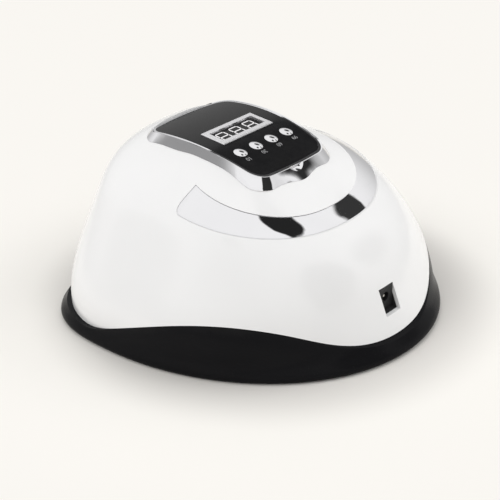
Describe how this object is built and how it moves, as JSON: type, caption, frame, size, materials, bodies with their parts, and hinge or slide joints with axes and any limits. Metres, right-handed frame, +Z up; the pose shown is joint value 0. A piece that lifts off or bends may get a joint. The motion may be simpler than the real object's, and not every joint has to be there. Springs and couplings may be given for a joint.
{
  "type": "gel nail lamp",
  "caption": "Table-top nail curing lamp: white dome on a black flared base, open at the front for a hand, with a raised control panel, display, push buttons and chrome trim.",
  "frame": {"origin": "on the table, at the middle of the base's bounding box", "axes": "+Z up, +Y out of the hand opening at the front, -Y towards the power socket at the rear, +X to the right when the panel is read from the rear"},
  "size_m": [0.231, 0.2127, 0.1057],
  "materials": {
    "white_shell": "glossy moulded, fine orange peel",
    "black_base": "glossy moulded",
    "chrome_trim": "bright plated plastic",
    "black_panel": "high gloss",
    "silver_trim": "satin silver",
    "smoked_window": "smoked, clear",
    "dark_plastic": "matt",
    "digit_segments": "pale, unlit",
    "circuit_board": "green solder mask",
    "white_board": "white solder mask",
    "steel": "zinc plated",
    "pale_plastic": "natural nylon",
    "ribbon": "flat cable, satin",
    "brass": "turned",
    "ferrite": "ferrite",
    "capacitor_can": "sleeved can",
    "nickel": "nickel plated",
    "red_lead": "soft insulation",
    "black_lead": "soft insulation",
    "reflector": "bright reflective film",
    "aluminium_plate": "mill finish",
    "light_bead": "clear silicone over a yellow die",
    "sensor_lens": "dark infrared filter",
    "rubber": "soft matt",
    "silver_button": "satin silver plate"
  },
  "bodies": {
    "lamp": {"upper_shell": "white_shell", "base_frame": "black_base", "opening_surround": "black_base", "crescent_trim": "chrome_trim", "panel_bezel": "chrome_trim", "control_panel": "black_panel", "display_frame": "silver_trim", "display_window": "smoked_window", "display_module": "dark_plastic", "display_digits": "digit_segments", "switch_housings": "dark_plastic", "panel_board": "circuit_board", "board_screws": "steel", "panel_header": "pale_plastic", "ribbon_cable": "ribbon", "main_header": "pale_plastic", "main_board": "circuit_board", "board_pillars": "brass", "pillar_screws": "steel", "driver_coils": "ferrite", "driver_capacitors": "capacitor_can", "driver_chips": "dark_plastic", "lead_connector": "pale_plastic", "dc_jack": "dark_plastic", "jack_pin": "nickel", "jack_contacts": "nickel", "positive_lead": "red_lead", "negative_lead": "black_lead", "inner_liner": "reflector", "ceiling_light_board": "white_board", "heat_spreader": "aluminium_plate", "ceiling_beads": "light_bead", "left_light_board": "white_board", "right_light_board": "white_board", "rear_light_board": "white_board", "left_beads": "light_bead", "right_beads": "light_bead", "rear_beads": "light_bead", "motion_sensor": "sensor_lens", "base_magnets": "nickel", "rubber_feet": "rubber", "case_screws": "steel", "floor_plate": "black_base", "seam_ring": "dark_plastic", "screw_posts": "dark_plastic", "socket_bracket": "dark_plastic", "panel_carrier": "chrome_trim"},
    "button_1": {"button_cap_1": "silver_button", "switch_plunger_1": "dark_plastic"},
    "button_2": {"button_cap_2": "silver_button", "switch_plunger_2": "dark_plastic"},
    "button_3": {"button_cap_3": "silver_button", "switch_plunger_3": "dark_plastic"},
    "button_4": {"button_cap_4": "silver_button", "switch_plunger_4": "dark_plastic"},
    "tray": {"bottom_tray": "black_base", "tray_sheet": "reflector", "tray_magnets": "nickel"}
  },
  "joints": [
    {"name": "button_1_press", "type": "slide", "parent": "lamp", "child": "button_1", "axis": [0, 0.2154, -0.9765], "range_m": [0, 0.0005], "stiffness_N_per_m": 1200, "springref_m": -0.0004},
    {"name": "button_2_press", "type": "slide", "parent": "lamp", "child": "button_2", "axis": [0, 0.2154, -0.9765], "range_m": [0, 0.0005], "stiffness_N_per_m": 1200, "springref_m": -0.0004},
    {"name": "button_3_press", "type": "slide", "parent": "lamp", "child": "button_3", "axis": [0, 0.2154, -0.9765], "range_m": [0, 0.0005], "stiffness_N_per_m": 1200, "springref_m": -0.0004},
    {"name": "button_4_press", "type": "slide", "parent": "lamp", "child": "button_4", "axis": [0, 0.2154, -0.9765], "range_m": [0, 0.0005], "stiffness_N_per_m": 1200, "springref_m": -0.0004},
    {"name": "tray_slide", "type": "slide", "parent": "lamp", "child": "tray", "axis": [0, 1, 0], "range_m": [0, 0.185]}
  ]
}
